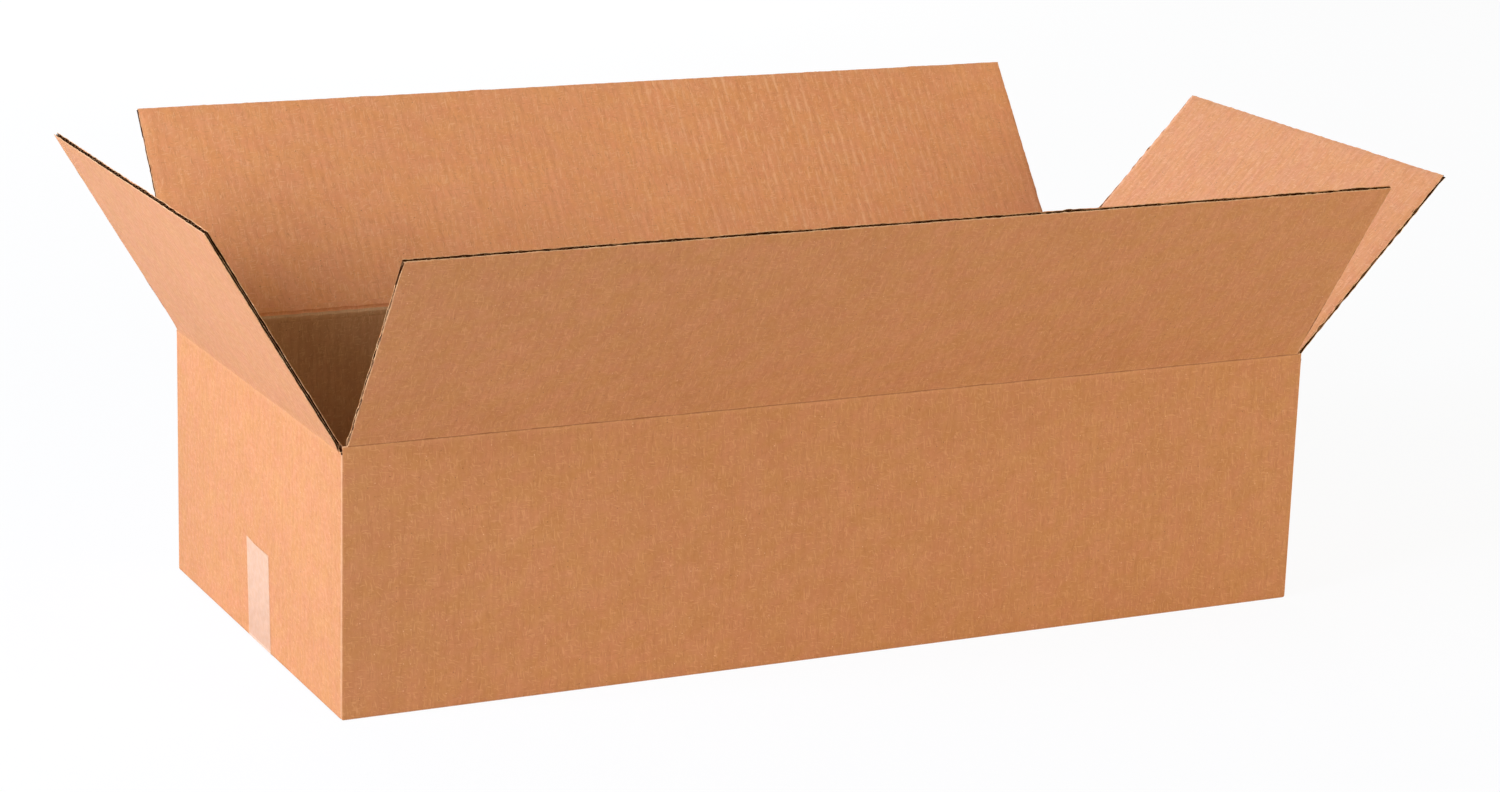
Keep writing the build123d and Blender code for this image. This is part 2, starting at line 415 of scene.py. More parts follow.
        # the knife leaves small teeth on the fluted paper, and pushes it from side to side
        teeth = ragged(zs, seed + 60 + side, 2.2 * mm, 0.6, seed + 61, 30 * mm)
        tooth = (1.0 - 0.8 * knots) * mm + 0.7 * mm * teeth
        share = np.linspace(0, 1, 17)
        x = side * (inX + (half - tooth - inX)[:, None] * share[None, :])
        z = np.repeat(zs[:, None], len(share), axis=1)
        near, far = flute(x, z)
        outer, inner = surfaces(x, z)
        atEdge = smooth(1 - (half - tooth[:, None] - np.abs(x)) / (3 * mm))
        fluff = knife["fluff"] * atEdge
        room = np.maximum(inner - outer - 2 * liner - (far - near) - 2 * fluff, 0) / 2
        wander = 2 * jagged(zs, seed + 62 + side, 3.6 * mm)[:, None] - 1
        shift = ((outer + inner) / 2 + 0.9 * room * wander * knots - (near + far) / 2) * atEdge
        layFlute(x, z, near + shift - fluff, far + shift + fluff, flip, 1)


# the folded wall strip: four walls, three folded corners with slits and the fold into the glue tab
ring = {
    "cornerRadius": 2.0 * mm,
    "innerRadius": 0.6 * mm,
    "cornerSteps": 6,
    "slitDepth": 1.6 * mm,      # below the end crease
    "tabWidth": 35.0 * mm,
    "tabTaper": 12.0,           # degrees
    "tabTop": 5.0 * mm,         # tab stops this far below the end crease
    "tabFoot": 9.3 * mm,
    "rows": [4.6, 9.0, 20.0, 48.0, 78.0, 108.0, 138.0, 160.0, 172.0, 179.0],   # heights of mesh rows in mm
}


# how far a wall bulges outwards, at a place along it and a height
def wallBow(wall, s, z):
    across = np.sin(np.pi * np.clip((s + wall["half"]) / (2 * wall["half"]), 0, 1))
    return wall["bow"] * across * np.sin(np.pi * np.clip(z / wall["crease"], 0, 1))


# stations along the strip: outer and inner place, crease height, on an end wall, beside a slot, place
# on the flutes, how much they show, place on the sheet, distance from the fold, and bow
def wallStations():
    stations = []
    names = list(walls)
    run = 0.0
    gap, steps = board["thick"], ring["cornerSteps"]
    radius, innerRadius = ring["cornerRadius"], ring["innerRadius"]
    for number, name in enumerate(names):
        wall = walls[name]
        last = number == len(names) - 1
        inward, along, half, far = wall["inward"][:2], wall["along"][:2], wall["half"], wall["far"]
        flapHalf = half - slotInset
        start = -flapHalf if number == 0 else -half + radius
        finish = half - radius - (gap if last else 0)
        count = int((finish - start) / (board["pitch"] / board["perFlute"]))
        edges = [side * flapHalf + step for side in (-1, 1) for step in (-0.01 * mm, 0.01 * mm)]
        edges = [value for value in edges if start < value < finish]
        limit = half - gap - innerRadius
        for s in np.sort(np.concatenate([np.linspace(start, finish, count), edges])):
            innerS = min(max(s, -limit), limit - (gap if last else 0))
            shown = float(smooth((half - abs(s) - 2 * mm) / (6 * mm)))
            bow = wall["bow"] * math.sin(math.pi * (s + half) / (2 * half))
            stations.append((
                -inward * far + along * s, -inward * (far - gap) + along * innerS, wall["crease"],
                wall["end"], abs(s) > flapHalf, s - wall["phase"], shown, run + s + half, half - abs(s), bow))
        # the fold to the next wall, or into the tab after the last one
        follow = walls[names[(number + 1) % 4]]
        corner = -inward * far + along * (half - (gap if last else 0.0))
        centre = corner + inward * radius - along * radius
        innerCentre = corner + (inward - along) * (gap + innerRadius)
        for step in range(1, steps):
            angle = math.pi / 2 * step / steps
            way = -inward * math.cos(angle) + along * math.sin(angle)
            side = follow if step > steps / 2 and not last else wall
            stations.append((
                centre + way * radius, innerCentre + way * innerRadius, side["crease"], side["end"], True,
                0.0, 0.0, run + 2 * half - radius + radius * angle, abs(angle - math.pi / 4) * radius, 0.0))
        run += 2 * half
    return [np.array(values, float) for values in zip(*stations)]


def wallStrip(stack):
    outer, inner, crease, ends, cuts, phases, relief, sheet, fold, bows = wallStations()
    isEnd, isCut = ends > 0.5, cuts > 0.5
    count = len(crease)
    slitFloor = endCrease - ring["slitDepth"]

    def pick(longValue, endValue):
        return np.where(isEnd, endValue, longValue) * mm

    # the closed outline of the strip at each station, as depth from the outer plane and height
    depth, height, paper, liners = [], [], [], []

    def row(d, z, kind, liner=0.0):
        depth.append(d + 0 * crease)
        height.append(z + 0 * crease)
        paper.append(np.full(count, kind) if np.isscalar(kind) else kind)
        liners.append(liner)

    for longPair, endPair in [((4.0, 0.0), (4.0, 4.3)), ((1.6, 0.0), (2.6, 3.1)), ((0.75, 0.2), (1.3, 1.75)),
                              ((0.2, 0.75), (0.45, 1.15)), ((0.0, 1.7), (0.02, 1.95))]:
        row(pick(longPair[0], endPair[0]), pick(longPair[1], endPair[1]), outerPaper)
    for z in ring["rows"]:
        row(0.0, z * mm, outerPaper, 1.0)
    row(0.0, slitFloor, outerPaper, 0.6)
    slitRow = len(depth) - 1
    for longDown, endDown in [(8.0, 4.6), (6.0, 3.4), (4.0, 2.3), (2.4, 1.4), (1.2, 0.8), (0.4, 0.35)]:
        down = pick(longDown, endDown)
        flare = flareAt(down) * (1 + 0.35 * waver(sheet, 71, 30 * mm))
        row(-flare * np.where(isCut, 0.3, 1.0), crease - down, outerPaper)
    # over the top: depth and fall of a crushed slope under each flap and of a cut edge beside the slots
    rough = 0.12 * mm * waver(sheet, 72, 9 * mm)
    slope = [(-0.3, 0.0, 0.02, 0.1), (0.2, 0.05, 0.42, 0.0), (0.65, 0.5, 0.52, 0.8), (1.3, 1.2, 2.0, 0.5),
             (2.3, 2.4, 3.46, 0.8), (3.2, 3.5, 3.58, 0.0), (3.85, 4.5, 4.0, 0.1)]
    # flute openings in the cut edges take painted flute shade, and the slopes under the flaps the inner
    # paper's painted-shade copy
    cutKinds = [cutPaper, flutePaintedShadePaper, cutPaper, cutPaper, flutePaintedShadePaper, cutPaper, insidePaintedShadePaper]
    slopeKinds = [outerPaper] + [insidePaintedShadePaper] * 6
    for (d, down, cutD, cutDown), cutKind, slopeKind in zip(slope, cutKinds, slopeKinds):
        z = np.where(isCut, crease - cutDown * mm, crease - down * mm + rough * min(1, d * 0.6 + 0.3))
        row(np.where(isCut, cutD, d) * mm, z, np.where(isCut, cutKind, slopeKind))
    # the inner face of the wall, in the inner paper's painted-shade copy
    for longDown, endDown in [(5.4, 5.0), (7.4, 5.5)]:
        row(board["thick"], crease - pick(longDown, endDown), insidePaintedShadePaper)
    row(board["thick"], slitFloor - 3.5 * mm, insidePaintedShadePaper, -0.6)
    innerSlitRow = len(depth) - 1
    for z in reversed(ring["rows"]):
        row(board["thick"], z * mm, insidePaintedShadePaper, -1.0)
    row(depth[0], height[0], insidePaintedShadePaper)

    depth, height, paper = np.array(depth), np.array(height), np.array(paper)
    # relief of the flutes and a slight bow, both fading at the folds
    ridge = ridgeAt(phases)
    uneven = relief * (1 + 0.5 * waver(sheet, 73, 110 * mm))
    for number, liner in enumerate(liners):
        if liner > 0:
            depth[number] += liner * board["reliefOut"] * ridge * uneven
        if liner < 0:
            depth[number] += liner * board["reliefIn"] * (1 - ridge) * uneven
    lift = np.sin(np.pi * np.clip(height / crease, 0, 1)) * bows
    # the fold into the tab stops lower at its top and higher at its foot than the wall beside it
    steps = ring["cornerSteps"] - 1
    share = np.zeros(count)
    share[-steps:] = np.linspace(1, steps, steps) / steps
    height = np.where(height > 20 * mm, height - share * ring["tabTop"],
                      height + share * (ring["tabFoot"] - 2 * mm))

    reach = (depth - lift * (np.abs(inner - outer).max(axis=1) > 0)) / board["thick"]
    flat = outer[None] + (inner - outer)[None] * reach[:, :, None]
    points = np.concatenate([flat, height[:, :, None]], axis=2)
    sheetAt = joined(sheet, height + np.where(paper == insidePaintedShadePaper, 0.4, 0))
    # height below the crease, for the painted shade line along it, set 0.7 mm off and so fainter on the end
    # walls
    below = np.clip(crease[None] - height, 0, 1) + np.where(isEnd, 0.7 * mm, 0)[None]
    fromCrease = np.where(isCut[None], farOff, below)
    fromCut = np.where(isCut[None], np.minimum(below, farOff), farOff)
    marks = marksAt(height.shape, fromCrease, fromCut, np.minimum(fold[None], height))

    # a narrow slit runs down each folded corner from the slots, its sides in painted flute shade
    keep = np.ones((len(depth) - 1, count - 1), bool)
    changes = [i for i in range(count - 1) if isEnd[i] != isEnd[i + 1]]
    slits = [i if fold[i] < fold[i + 1] else i + 1 for i in changes]
    for middle in slits:
        keep[slitRow:innerSlitRow, middle - 1:middle + 1] = False
    index = addGrid(stack, points, sheetAt, marks, paper[:-1, :-1], flip=True, keep=keep)
    for middle in slits:
        for station, flip in [(middle - 1, False), (middle + 1, True)]:
            addCap(stack, list(index[slitRow:innerSlitRow + 1, station]), flutePaintedShadePaper, flip)
        across = slice(middle - 1, middle + 2)
        addCap(stack, [*index[slitRow, across], *index[innerSlitRow, across][::-1]], cutPaper)


# a closed tube along a crease: its outline as distance inwards and height from the crease, row by row,
# and where that outline lies on the sheet
def creaseTube(stack, wall, xs, inward, height, sheetAt, marks, kinds, flip):
    x = np.broadcast_to(xs, inward.shape)
    sheet = joined(x + sheetAt[0], sheetAt[1][:, None])
    parts = ((x, wall["along"]), (inward, wall["inward"]), (height, up))
    points = creaseMiddle(wall) + sum(values[..., None] * way for values, way in parts)
    paper = kinds[:, None] + np.zeros((1, x.shape[1] - 1), int)
    index = addGrid(stack, points, sheet, marks, paper, flip)
    addCap(stack, list(index[:-1, 0]), cutPaper, flip)
    addCap(stack, list(index[:-1, -1]), cutPaper, not flip)


# crease of a top flap: a crushed bead of paper, bent to the flap's lean
creaseBead = {"outerRadius": 0.42 * mm, "innerRadius": 0.9 * mm, "steps": 9, "column": 2.6 * mm}


def creaseStrip(stack, wall, lean, width, seed):
    steps = creaseBead["steps"]
    xs = np.linspace(-width / 2, width / 2, int(width / creaseBead["column"]))
    outside = np.linspace(270, 90 + lean, steps)
    inside = np.linspace(45 + lean, -45, steps)
    angles = np.radians(np.concatenate([outside, inside, [270]]))[:, None]
    kinds = np.array([outerPaper] * steps + [innerPaper] * steps)
    rough = 1 + 0.22 * waver(xs, seed, 14 * mm) + 0.12 * (jagged(xs, seed + 1, 3 * mm) - 0.5)
    radii = np.repeat([creaseBead["outerRadius"], creaseBead["innerRadius"], creaseBead["outerRadius"]],
                      [steps, steps, 1])
    radius = radii[:, None] * rough[None, :]
    sheetAt = (2.0, np.linspace(0, 6 * mm, len(angles)))
    # the bead lies on the crease, so the marks paint its dark line of shade there, 0.7 mm off and fainter on
    # the end walls
    marks = marksAt(radius.shape, crease=0.7 * mm if wall["end"] else 0.0)
    creaseTube(stack, wall, xs, radius * np.cos(angles), radius * np.sin(angles), sheetAt, marks, kinds, True)


# inner paper across the open fold: from the wall over a shallow valley up onto the flap
creaseSkin = {"paper": 0.42 * mm, "lift": 0.03 * mm, "dip": 0.55 * mm, "steps": 9, "column": 2.6 * mm,
              "hold": 1.6 * mm}    # from the crease to where it starts to bend


def skinStrip(stack, wall, flap, lean, width):
    seed = flap["seed"]
    xs = np.linspace(-width / 2, width / 2, int(width / creaseSkin["column"]))
    thick = board["thick"] + creaseSkin["lift"]
    angle = math.radians(lean)
    along = np.array([-math.sin(angle), math.cos(angle)])
    through = np.array([math.cos(angle), math.sin(angle)])
    rough = 0.35 * mm * waver(xs, seed + 80, 17 * mm)
    edge = squeezed(flap["squeeze"], seed, xs, width / 2 - np.abs(xs)) * 0.6

    # on the wall: depth less its bow, height below the crease
    rows, marks = [], []
    for depth, down in [(-0.25, 5.9), (0.0, 5.1), (0.0, 3.5), (0.0, 2.1), (-0.04, 1.2)]:
        bow = wallBow(wall, xs, wall["crease"] - down * mm)
        rows.append(joined(thick + depth * mm - bow, rough * (1 - down / 5.9) - down * mm))
        marks.append(1.1 * mm + max(down - 1.2, 0) * mm)
    # on the flap: the same in its own directions
    far, farMarks = [], []
    for s, depth in [(1.2, -0.04), (2.1, 0.0), (3.5, 0.0), (5.1, 0.0), (5.8, -0.25)]:
        d = thick + depth * mm - edge * smooth(s / 10)
        far.append(s * mm * along + d[:, None] * through + rough[:, None] * along * (1 - s / 5.8))
        farMarks.append((3.5 + s) * mm)
    # the valley between them
    start = rows[-1]
    chord = far[0] - start
    across = joined(-chord[:, 1], chord[:, 0]) / np.linalg.norm(chord, axis=1)[:, None]
    sink = creaseSkin["dip"] * (1 + 0.5 * waver(xs, seed + 81, 11 * mm))
    # here the marks stay 1.1 mm or more from the crease, so its painted shade line is only faint in the
    # valley
    for t in np.linspace(0, 1, creaseSkin["steps"] + 1)[1:-1]:
        rows.append(start + chord * t + across * (sink * math.sin(math.pi * t))[:, None])
        marks.append(1.1 * mm + abs(t - 0.25) * 4 * mm)
    front = np.array(rows + far)
    marks = marks + farMarks
    step = np.gradient(front, axis=0)
    behind = joined(-step[..., 1], step[..., 0]) / np.linalg.norm(step, axis=-1, keepdims=True)
    back = (front + behind * creaseSkin["paper"])[::-1]
    outline = np.concatenate([front, back, front[:1]])
    run = np.concatenate([[0], np.cumsum(np.linalg.norm(np.diff(outline[:, 0], axis=0), axis=1))])
    fromCrease = np.array(marks + marks[::-1] + marks[:1])[:, None]
    # on the wall the skin takes the inner paper's painted-shade copy
    onWall = 5 + creaseSkin["steps"] // 3
    kinds = np.repeat([insidePaintedShadePaper, innerPaper, cutPaper], [onWall, len(front) - 1 - onWall, len(front) + 1])
    marks = marksAt(outline.shape[:2], fromCrease, width / 2 - np.abs(xs))
    sheetAt = (wall["half"] + 6.0, run)
    creaseTube(stack, wall, xs, outline[..., 0], outline[..., 1], sheetAt, marks, kinds, False)


# sealing tape: one strip up the left wall, under the bottom and up the right wall,
# stuck on slightly askew, so that each end is cut at a slant
tape = {
    "width": 48.0 * mm,
    "offset": -10.0 * mm,      # from the middle of the carton
    "rise": 76.0 * mm,
    "film": 0.08 * mm,
    "footRadius": 2.4 * mm,
    "across": 25,              # mesh columns
    "tooth": 0.4 * mm,         # of the cutter at both ends
    "toothPitch": 2.2 * mm,
    "slantLeft": 5.0 * mm,
    "slantRight": 2.0 * mm,
    "cornerRadius": 2.5 * mm,
    "askew": 1.8 * mm,
}


def tapeStrip(stack):
    radius = tape["footRadius"]
    outX, footZ = halfX + tape["film"], 0.02 * mm
    path = [(outX, z) for z in np.linspace(tape["rise"], radius + footZ, 40)]
    for step in range(1, 8):
        angle = math.pi / 2 * step / 8
        path.append((outX - radius + radius * math.cos(angle), footZ + radius - radius * math.sin(angle)))
    run = np.linspace(outX - radius, -(outX - radius), 90)
    path = np.array([(-x, z) for x, z in path] + [(-x, footZ) for x in run] + path[::-1])
    length = np.concatenate([[0], np.cumsum(np.linalg.norm(np.diff(path, axis=0), axis=1))])
    ys = np.linspace(-tape["width"] / 2, tape["width"] / 2, tape["across"])
    y, x = np.meshgrid(ys, path[:, 0])
    z = np.repeat(path[:, 1:2], len(ys), axis=1)
    # the cutter's teeth at both ends, a slightly uneven run of the edges
    teeth = tape["tooth"] * np.abs(((ys / tape["toothPitch"]) % 1.0) * 2 - 1)
    share = ys / tape["width"]
    rounded = tape["cornerRadius"] * smooth(1 - (share + 0.5) * tape["width"] / (3 * mm))
    z[0] -= teeth + tape["slantLeft"] * (0.5 - share) + rounded
    z[-1] -= teeth + tape["slantRight"] * (0.5 + share)
    ripple = 0.02 * mm * (1 + waver(length[:, None] + 0 * y, 81, 22 * mm)) * (1 + waver(y, 82, 15 * mm))
    for name, sign in (("left", -1), ("right", 1)):
        onWall = smooth((sign * x - outX + radius) / radius)
        x = x + sign * onWall * (wallBow(walls[name], y + tape["offset"], z) + ripple * 0.5)
    askew = tape["askew"]
    drift = np.interp(length, [0, tape["rise"], 4 * tape["rise"]], [askew, -askew, 0.0])[:, None]
    drift = drift + 0.15 * mm * waver(length[:, None], 83, 90 * mm)
    points = joined(x, y + tape["offset"] + drift, z)
    sheet = joined(length[:, None], y)
    fromEnd = np.minimum(length, length[-1] - length)[:, None] + 0 * y
    fromEdge = np.minimum(fromEnd, tape["width"] / 2 - np.abs(y))
    addGrid(stack, points, sheet, marksAt(y.shape, farOff, fromEdge, z), 0)


# a value for a node's input may be a number, a colour or another node's socket
def fill(tree, node, values):
    for key, value in values.items():
        socket = node.inputs[key]
        if isinstance(value, bpy.types.NodeSocket):
            tree.links.new(value, socket)
        else:
            socket.default_value = (*value, 1.0) if socket.type == "RGBA" else value


def put(tree, kind, values=None, **settings):
    made = tree.nodes.new("ShaderNode" + kind)
    for key, value in settings.items():
        setattr(made, key, value)
    fill(tree, made, values or {})
    return made


def calc(tree, operation, *values, clamp=False):
    return put(tree, "Math", dict(enumerate(values)), operation=operation, use_clamp=clamp).outputs[0]


def times(tree, a, b):
    return calc(tree, "MULTIPLY", a, b)


def vectors(tree, operation, *values):
    return put(tree, "VectorMath", dict(enumerate(values)), operation=operation).outputs[0]


def ramp(tree, value, low, high, outLow=0.0, outHigh=1.0):
    values = {"Value": value, "From Min": low, "From Max": high, "To Min": outLow, "To Max": outHigh}
    return put(tree, "MapRange", values, interpolation_type="SMOOTHSTEP").outputs["Result"]


def mixColour(tree, amount, a, b):
    return put(tree, "Mix", {0: amount, 6: a, 7: b}, data_type="RGBA").outputs[2]


def noise2(tree, place, scale, detail, rough=0.55):
    values = {"Vector": place, "Scale": scale, "Detail": detail, "Roughness": rough}
    return put(tree, "TexNoise", values, noise_dimensions="2D").outputs


# stretched noise on the sheet, with its own scales across and along the flutes
def sheetNoise(tree, sheet, across, along, turn, detail, shift):
    move = {"Vector": sheet, "Location": (shift, shift * 0.7, shift), "Rotation": (0, 0, turn)}
    placed = put(tree, "Mapping", move).outputs[0]
    scaled = put(tree, "Mapping", {"Vector": placed, "Scale": (across, along, 1)}).outputs[0]
    return noise2(tree, scaled, 1.0, detail)["Fac"]


# a group of nodes that reads its place on the sheet, with a shift that keeps the papers unlike each other
def startGroup(name, inputs, outputs):
    group = bpy.data.node_groups.new(name, "ShaderNodeTree")
    for label, kind, value in [("Sheet", "Vector", (0, 0, 0)), ("Shift", "Float", 0.0)] + inputs:
        socket = group.interface.new_socket(name=label, in_out="INPUT", socket_type="NodeSocket" + kind)
        socket.default_value = value
    for label in outputs:
        group.interface.new_socket(name=label, in_out="OUTPUT", socket_type="NodeSocketFloat")
    given = group.nodes.new("NodeGroupInput").outputs
    sheet = vectors(group, "ADD", given["Sheet"], given["Shift"])
    return group, sheet, group.nodes.new("NodeGroupOutput"), given


# fibres pressed into the paper: scales across and along, turn, shift and the noise where they start and end
fibreStrokes = {
    "Pale": [(130, 760, 0.12, 0.0, 0.66, 0.75), (760, 105, -0.1, 3.1, 0.64, 0.74),
             (210, 800, 0.8, 5.7, 0.68, 0.76)],
    "Dark": [(120, 800, -0.15, 9.2, 0.67, 0.76), (780, 95, 0.1, 12.4, 0.63, 0.74)],
}


def fibreGroup():
    tree, sheet, out, _ = startGroup("paperFibres", [], ["Pale", "Dark", "Height"])
    sway = vectors(tree, "SUBTRACT", noise2(tree, sheet, 90.0, 1.0, 0.5)["Color"], (0.5, 0.5, 0.5))
    sheet = vectors(tree, "MULTIPLY_ADD", sway, (0.0035, 0.0035, 0.0), sheet)
    masks = {}
    for kind, strokes in fibreStrokes.items():
        masks[kind] = 0.0
        for across, along, turn, shift, low, high in strokes:
            stroke = ramp(tree, sheetNoise(tree, sheet, across, along, turn, 1.0, shift), low, high)
            masks[kind] = calc(tree, "MAXIMUM", masks[kind], stroke)
    fine = sheetNoise(tree, sheet, 2600, 2600, 0.4, 3, 7.3)
    height = calc(tree, "ADD", calc(tree, "SUBTRACT", masks["Pale"], masks["Dark"]), fine)
    fill(tree, out, {**masks, "Height": height})
    return tree


# uneven tone of recycled paper: wide clouds, blotches of a centimetre or two, fine mottle and specks
def mottleGroup():
    tones = {"Cloud": (7, 9, 0.3, 3, 0), "Blotch": (42, 60, -0.4, 3, 2.2), "Mottle": (240, 300, 0.7, 3, 4.8)}
    tree, sheet, out, _ = startGroup("paperMottle", [], [*tones, "Specks"])
    cells = put(tree, "TexVoronoi", {"Vector": sheet, "Scale": 190.0, "Randomness": 1.0},
                voronoi_dimensions="2D", feature="F1").outputs
    sparse = ramp(tree, put(tree, "SeparateColor", {"Color": cells["Color"]}).outputs[0], 0.955, 0.98)
    dot = ramp(tree, cells["Distance"], 0.1, 0.04)
    masks = {tone: ramp(tree, sheetNoise(tree, sheet, *values), 0.3, 0.7) for tone, values in tones.items()}
    fill(tree, out, {**masks, "Specks": times(tree, sparse, dot)})
    return tree


# the flutes below show as pale upright lines, one to each flute: painted light of their relief, stronger in
# some places than in others
def fluteGroup():
    inputs = [("Pitch", "Float", board["pitch"]), ("Pressed", "Float", 0.15)]
    tree, sheet, out, given = startGroup("fluteLines", inputs, ["Line", "Streak"])
    across = put(tree, "SeparateXYZ", {0: given["Sheet"]}).outputs[0]
    turns = times(tree, calc(tree, "DIVIDE", across, given["Pitch"]), 2 * math.pi)
    wave = calc(tree, "MULTIPLY_ADD", calc(tree, "COSINE", turns), 0.5, 0.5)
    wave = calc(tree, "POWER", wave, 4.5)
    patchy = ramp(tree, sheetNoise(tree, sheet, 5, 9, 0, 2, 1.4), 0.35, 0.6, 0.55, 1.0)
    broken = ramp(tree, sheetNoise(tree, sheet, 128, 55, 0, 2, 6.1), 0.44, 0.6)
    line = times(tree, times(tree, wave, times(tree, patchy, given["Pressed"])), broken)
    streak = ramp(tree, sheetNoise(tree, sheet, 240, 26, 0, 3, 8.8), 0.3, 0.72)
    fill(tree, out, {"Line": line, "Streak": streak})
    return tree


# marks along creases, folds and cut edges, from the distances kept on the mesh; on the paper they carry wear,
# painted shade and painted highlight
def distanceMaskGroup():
    inputs = [("Distance", "Float", 0.01), ("Width", "Float", 0.001), ("Rough", "Float", 0.5)]
    tree, sheet, out, given = startGroup("edgeMarks", inputs, ["Mask"])
    fine, wide = sheetNoise(tree, sheet, 380, 380, 0, 3, 2.9), sheetNoise(tree, sheet, 45, 45, 0, 2, 7.7)
    swing = times(tree, calc(tree, "SUBTRACT", calc(tree, "ADD", fine, wide), 1.0), given["Rough"])
    reach = times(tree, given["Width"], calc(tree, "ADD", swing, 1.0))
    fill(tree, out, {"Mask": ramp(tree, calc(tree, "DIVIDE", given["Distance"], reach), 1.0, 0.0)})
    return tree


fibres, mottle, flutes, edgeMarks = fibreGroup(), mottleGroup(), fluteGroup(), distanceMaskGroup()


def useGroup(tree, group, values):
    return put(tree, "Group", values, node_tree=group).outputs


def readMark(tree, mark):
    return put(tree, "Attribute", attribute_name=mark).outputs["Fac"]


def markMask(tree, sheet, mark, width, rough):
    values = {"Sheet": sheet, "Distance": readMark(tree, mark), "Width": width, "Rough": rough}
    return useGroup(tree, edgeMarks, values)["Mask"]


def bumped(tree, height, strength, depth):
    return put(tree, "Bump", {"Height": height, "Strength": strength, "Distance": depth}).outputs[0]


def startMaterial(name):
    material = bpy.data.materials.new(name)
    material.use_nodes = True
    return material, material.node_tree, material.node_tree.nodes["Principled BSDF"]


# brown paper of the board: its colours and how strong each effect is
kraft = {
    "outerPaper": {
        "colour": (0.532, 0.216, 0.059), "dark": (0.425, 0.155, 0.045), "pale": (0.70, 0.335, 0.130),
        "tint": (0.562, 0.208, 0.077), "cloud": 0.17, "blotch": 0.13, "mottle": 0.15, "tintShare": 0.9,
        "paleFibres": 0.40, "darkFibres": 0.46, "paleSpecks": 0.5, "line": 0.12, "streak": 0.28,
        "roughness": 0.62, "shine": 0.32, "sheen": 0.03, "grain": 0.3, "shift": 0.0, "edgeMarkShare": 0.55},
    "innerPaper": {
        "colour": (0.78, 0.318, 0.103), "dark": (0.54, 0.200, 0.066), "pale": (0.86, 0.46, 0.215),
        "tint": (0.785, 0.300, 0.127), "cloud": 0.16, "blotch": 0.13, "mottle": 0.14, "tintShare": 0.7,
        "paleFibres": 0.42, "darkFibres": 0.40, "paleSpecks": 0.45, "line": 0.62, "streak": 0.22,
        "roughness": 0.64, "shine": 0.33, "sheen": 0.03, "grain": 0.35, "shift": 3.3, "edgeMarkShare": 0.35},
    # inside of the box: a darker, duller copy of the inner paper, painted shade for the walls' inner face,
    # the bottom flaps and the glued corner
    "insidePaintedShadePaper": {
        "colour": (0.54, 0.290, 0.118), "dark": (0.40, 0.205, 0.078), "pale": (0.73, 0.46, 0.22),
        "tint": (0.56, 0.282, 0.130), "cloud": 0.14, "blotch": 0.10, "mottle": 0.12, "tintShare": 0.5,
        "paleFibres": 0.42, "darkFibres": 0.50, "paleSpecks": 0.35, "line": 0.5, "streak": 0.40,
        "roughness": 0.66, "shine": 0.3, "sheen": 0.0, "grain": 0.35, "shift": 3.9, "edgeMarkShare": 0.2},
    "cutPaper": {
        "colour": (0.80, 0.42, 0.165), "dark": (0.42, 0.17, 0.06), "pale": (0.94, 0.62, 0.31),
        "tint": (0.69, 0.35, 0.145), "cloud": 0.2, "blotch": 0.3, "mottle": 0.45, "tintShare": 0.4,
        "paleFibres": 0.8, "darkFibres": 0.6, "paleSpecks": 0.4, "line": 0.0, "streak": 0.0,
        "roughness": 0.85, "shine": 0.2, "sheen": 0.0, "grain": 0.9, "shift": 6.1, "edgeMarkShare": 0.0},
    # fluted paper as seen in the open flutes and slits, darkened far below its own brown: painted shade of
    # the hollows
    "flutePaintedShadePaper": {
        "colour": (0.095, 0.026, 0.006), "dark": (0.05, 0.013, 0.003), "pale": (0.19, 0.065, 0.018),
        "tint": (0.11, 0.030, 0.008), "cloud": 0.3, "blotch": 0.3, "mottle": 0.4, "tintShare": 0.3,
        "paleFibres": 0.4, "darkFibres": 0.4, "paleSpecks": 0.2, "line": 0.0, "streak": 0.2,
        "roughness": 0.85, "shine": 0.0, "sheen": 0.0, "grain": 0.5, "shift": 8.7, "edgeMarkShare": 0.0},
}
# the fluted sheet is browner where it is cut
kraft["mediumPaper"] = {
    **kraft["cutPaper"], "colour": (0.30, 0.12, 0.040), "dark": (0.13, 0.045, 0.013),
    "pale": (0.80, 0.46, 0.20), "tint": (0.33, 0.125, 0.045)}

# what every paper shares: colours of the specks, grain depth, and marks on the papers with an edge mark share
# (mark, width, roughness, share and colour, where None stands for the paper's own edge mark share or its pale
# colour); the marks are partly wear and partly painted shade and highlight
paperMarks = {
    "paleSpeck": (0.90, 0.58, 0.34),
    "darkSpeck": (0.12, 0.04, 0.015),
    "darkSpecks": 0.6,
    "grainDepth": 0.06 * mm,
    "wearAndPaintedLight": [
        ("fromCrease", 5.0 * mm, 0.9, 0.25, None),                    # paler band beside the crease
        ("fromCrease", 1.2 * mm, 1.1, 0.85, (0.23, 0.062, 0.012)),    # painted shade line in the crease groove
        ("fromCut", 1.3 * mm, 1.3, None, (0.84, 0.52, 0.28)),         # paler along cut edges
        ("fromFold", 1.0 * mm, 1.2, 0.42, (0.80, 0.47, 0.26)),        # rubbed wear and a painted highlight along the folds
    ],
}


